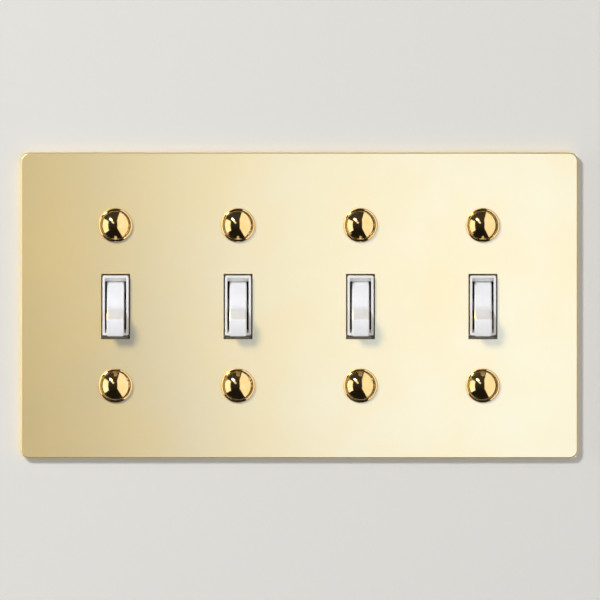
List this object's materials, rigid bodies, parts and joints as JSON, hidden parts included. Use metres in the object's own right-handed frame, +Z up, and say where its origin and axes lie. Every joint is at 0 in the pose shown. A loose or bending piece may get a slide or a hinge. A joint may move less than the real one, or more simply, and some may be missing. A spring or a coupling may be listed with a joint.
{
  "type": "toggle light switch",
  "caption": "Decorative brass wall plate with a row of toggle light switches, complete with yokes, housings, terminals and screws.",
  "frame": {"origin": "centre of the plate on the wall's surface, in the plane of the plate's back rim", "axes": "+X along the wall (right as seen from the room), +Y into the wall, +Z up; the levers point to -Y and hang down at rest"},
  "size_m": [0.2094, 0.0428, 0.115],
  "materials": {
    "plate_brass": "satin lacquered brass",
    "screw_brass": "polished brass",
    "screw_steel": "zinc-plated steel",
    "washer_fibre": "vulcanised fibre",
    "dark_screw": "black oxide steel",
    "terminal_brass": "plain stamped brass",
    "ground_green": "green lacquered steel",
    "yoke_steel": "zinc-plated sheet steel",
    "cover_white": "moulded white thermoplastic",
    "toggle_white": "polished white thermoplastic",
    "housing_plastic": "moulded phenolic",
    "spring_steel": "spring steel wire",
    "contact_silver": "silver alloy"
  },
  "bodies": {
    "root": {"wall_plate": "plate_brass", "dome_screws": "screw_brass", "box_screws": "screw_steel", "screw_washers": "washer_fibre", "common_screws": "dark_screw", "traveler_screws": "terminal_brass", "ground_screws": "ground_green", "yoke_1": "yoke_steel", "cover_1": "cover_white", "housing_1": "housing_plastic", "common_terminal_1": "terminal_brass", "upper_terminal_1": "terminal_brass", "lower_terminal_1": "terminal_brass", "traveler_contacts_1": "contact_silver", "yoke_2": "yoke_steel", "cover_2": "cover_white", "housing_2": "housing_plastic", "common_terminal_2": "terminal_brass", "upper_terminal_2": "terminal_brass", "lower_terminal_2": "terminal_brass", "traveler_contacts_2": "contact_silver", "yoke_3": "yoke_steel", "cover_3": "cover_white", "housing_3": "housing_plastic", "common_terminal_3": "terminal_brass", "upper_terminal_3": "terminal_brass", "lower_terminal_3": "terminal_brass", "traveler_contacts_3": "contact_silver", "yoke_4": "yoke_steel", "cover_4": "cover_white", "housing_4": "housing_plastic", "common_terminal_4": "terminal_brass", "upper_terminal_4": "terminal_brass", "lower_terminal_4": "terminal_brass", "traveler_contacts_4": "contact_silver"},
    "toggle_1": {"toggle_1": "toggle_white", "spring_1": "spring_steel"},
    "rocker_1": {"rocker_1": "terminal_brass", "rocker_contacts_1": "contact_silver"},
    "toggle_2": {"toggle_2": "toggle_white", "spring_2": "spring_steel"},
    "rocker_2": {"rocker_2": "terminal_brass", "rocker_contacts_2": "contact_silver"},
    "toggle_3": {"toggle_3": "toggle_white", "spring_3": "spring_steel"},
    "rocker_3": {"rocker_3": "terminal_brass", "rocker_contacts_3": "contact_silver"},
    "toggle_4": {"toggle_4": "toggle_white", "spring_4": "spring_steel"},
    "rocker_4": {"rocker_4": "terminal_brass", "rocker_contacts_4": "contact_silver"}
  },
  "joints": [
    {"name": "toggle_1_pivot", "type": "hinge", "parent": "root", "child": "toggle_1", "pos_m": [-0.06906, 0.0043, 0], "axis": [-1, 0, 0], "range_deg": [0, 50], "deforming": ["spring_1"]},
    {"name": "rocker_1_pivot", "type": "hinge", "parent": "root", "child": "rocker_1", "pos_m": [-0.06906, 0.0195, 0], "axis": [-1, 0, 0], "range_deg": [0, 20]},
    {"name": "toggle_2_pivot", "type": "hinge", "parent": "root", "child": "toggle_2", "pos_m": [-0.02302, 0.0043, 0], "axis": [-1, 0, 0], "range_deg": [0, 50], "deforming": ["spring_2"]},
    {"name": "rocker_2_pivot", "type": "hinge", "parent": "root", "child": "rocker_2", "pos_m": [-0.02302, 0.0195, 0], "axis": [-1, 0, 0], "range_deg": [0, 20]},
    {"name": "toggle_3_pivot", "type": "hinge", "parent": "root", "child": "toggle_3", "pos_m": [0.02302, 0.0043, 0], "axis": [-1, 0, 0], "range_deg": [0, 50], "deforming": ["spring_3"]},
    {"name": "rocker_3_pivot", "type": "hinge", "parent": "root", "child": "rocker_3", "pos_m": [0.02302, 0.0195, 0], "axis": [-1, 0, 0], "range_deg": [0, 20]},
    {"name": "toggle_4_pivot", "type": "hinge", "parent": "root", "child": "toggle_4", "pos_m": [0.06906, 0.0043, 0], "axis": [-1, 0, 0], "range_deg": [0, 50], "deforming": ["spring_4"]},
    {"name": "rocker_4_pivot", "type": "hinge", "parent": "root", "child": "rocker_4", "pos_m": [0.06906, 0.0195, 0], "axis": [-1, 0, 0], "range_deg": [0, 20]}
  ],
  "couplings": [
    {"joint": "rocker_1_pivot", "follows": "toggle_1_pivot", "ratio": 0.4},
    {"joint": "rocker_2_pivot", "follows": "toggle_2_pivot", "ratio": 0.4},
    {"joint": "rocker_3_pivot", "follows": "toggle_3_pivot", "ratio": 0.4},
    {"joint": "rocker_4_pivot", "follows": "toggle_4_pivot", "ratio": 0.4}
  ]
}
